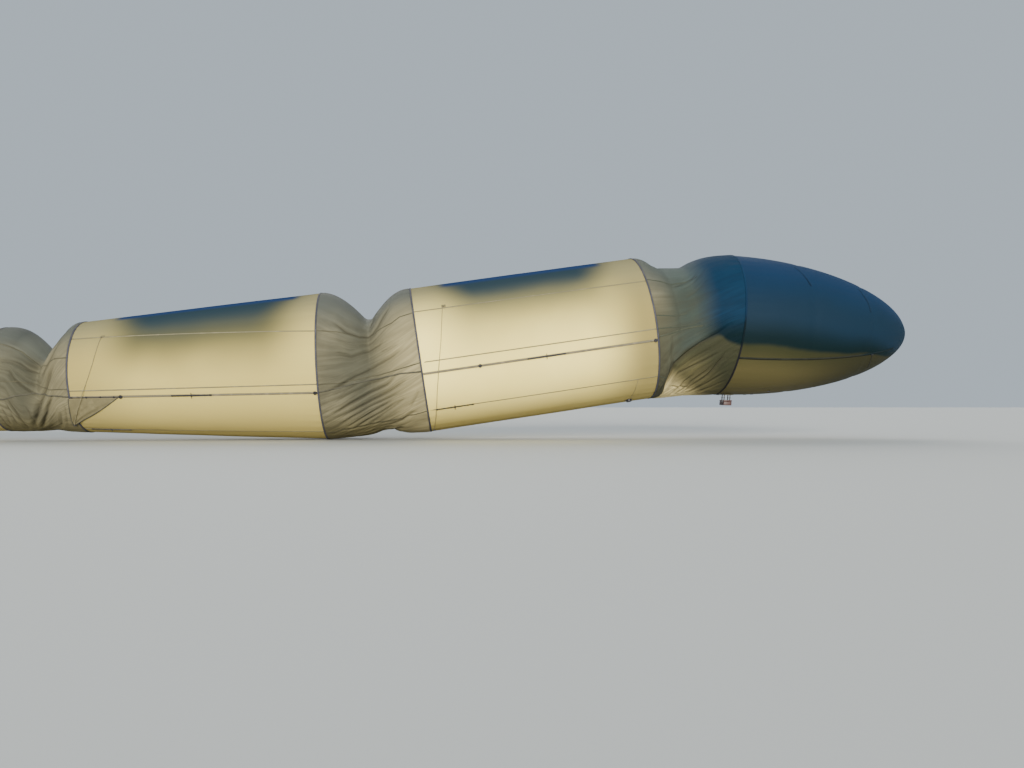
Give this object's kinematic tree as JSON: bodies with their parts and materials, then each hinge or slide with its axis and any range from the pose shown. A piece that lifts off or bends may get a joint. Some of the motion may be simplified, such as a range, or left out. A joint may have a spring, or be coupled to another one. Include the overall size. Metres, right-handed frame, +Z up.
{
  "type": "segmented airship",
  "caption": "Inflated airship in line segments joined by slack fabric sleeves, with a blunt dark nose and a stern propeller.",
  "frame": {"origin": "on the middle cell's axis at half its length, where the buoyant gas carries it", "axes": "+X towards the nose, +Y to the left side, +Z up"},
  "size_m": [33.2712, 3.4352, 4.4021],
  "materials": {
    "cream_film": "satin",
    "nose_film": "satin",
    "sleeve_cloth": "matte",
    "blue_hoop": "matte",
    "webbing": "matte",
    "rope": "matte",
    "patch_cloth": "matte",
    "black_fitting": "matte",
    "box_paint": "satin",
    "bare_metal": "satin",
    "blade_black": "satin"
  },
  "bodies": {
    "mid": {"aft_sleeve": "sleeve_cloth", "mid_bar_left": "black_fitting", "mid_bar_right": "black_fitting", "mid_batten_left": "black_fitting", "mid_batten_right": "black_fitting", "mid_envelope": "cream_film", "mid_front_hoop": "blue_hoop", "mid_low_bar_left": "black_fitting", "mid_low_bar_right": "black_fitting", "mid_panel_left": "patch_cloth", "mid_panel_right": "patch_cloth", "mid_rail_left": "webbing", "mid_rail_right": "webbing", "mid_rear_hoop": "blue_hoop", "mid_sleeve": "sleeve_cloth", "mid_stay_left": "rope", "mid_stay_right": "rope"},
    "fore": {"fore_bar_left": "black_fitting", "fore_bar_right": "black_fitting", "fore_envelope": "cream_film", "fore_front_hoop": "blue_hoop", "fore_low_bar_left": "black_fitting", "fore_low_bar_right": "black_fitting", "fore_rail_left": "webbing", "fore_rail_right": "webbing", "fore_rear_hoop": "blue_hoop", "fore_sleeve": "sleeve_cloth", "fore_stay_left": "rope", "fore_stay_right": "rope"},
    "nose": {"box_hanger": "black_fitting", "instrument_box": "box_paint", "nose_envelope": "nose_film", "nose_rail_left": "webbing", "nose_rail_right": "webbing", "nose_rear_hoop": "blue_hoop"},
    "aft": {"aft_bar_left": "black_fitting", "aft_bar_right": "black_fitting", "aft_envelope": "cream_film", "aft_front_hoop": "blue_hoop", "aft_low_bar_left": "black_fitting", "aft_low_bar_right": "black_fitting", "aft_rail_left": "webbing", "aft_rail_right": "webbing", "aft_rear_hoop": "blue_hoop", "aft_stay_left": "rope", "aft_stay_right": "rope", "tail_sleeve": "sleeve_cloth"},
    "tail": {"motor": "black_fitting", "tail_cap": "bare_metal", "tail_envelope": "cream_film", "tail_front_hoop": "blue_hoop", "tail_rear_hoop": "blue_hoop"},
    "propeller": {"propeller": "blade_black"}
  },
  "joints": [
    {"name": "fore_pitch", "type": "hinge", "parent": "mid", "child": "fore", "pos_m": [3.7015, 0, 0.2089], "axis": [0, -1, 0], "range_deg": [-19.5, 8.5], "deforming": ["mid_sleeve"]},
    {"name": "nose_pitch", "type": "hinge", "parent": "fore", "child": "nose", "pos_m": [10.979, 0, 1.1112], "axis": [0, -1, 0], "range_deg": [-2.5, 25.5], "deforming": ["fore_sleeve"]},
    {"name": "aft_pitch", "type": "hinge", "parent": "mid", "child": "aft", "pos_m": [-3.4561, 0, -0.1626], "axis": [0, -1, 0], "range_deg": [-14, 14], "deforming": ["aft_sleeve"]},
    {"name": "tail_pitch", "type": "hinge", "parent": "aft", "child": "tail", "pos_m": [-10.2623, 0, -0.4981], "axis": [0, -1, 0], "range_deg": [-10.5, 17.5], "deforming": ["tail_sleeve"]},
    {"name": "propeller_spin", "type": "hinge", "parent": "tail", "child": "propeller", "pos_m": [-16.54112, 0, -0.46522], "axis": [1, 0, -0.0087], "continuous": true}
  ]
}
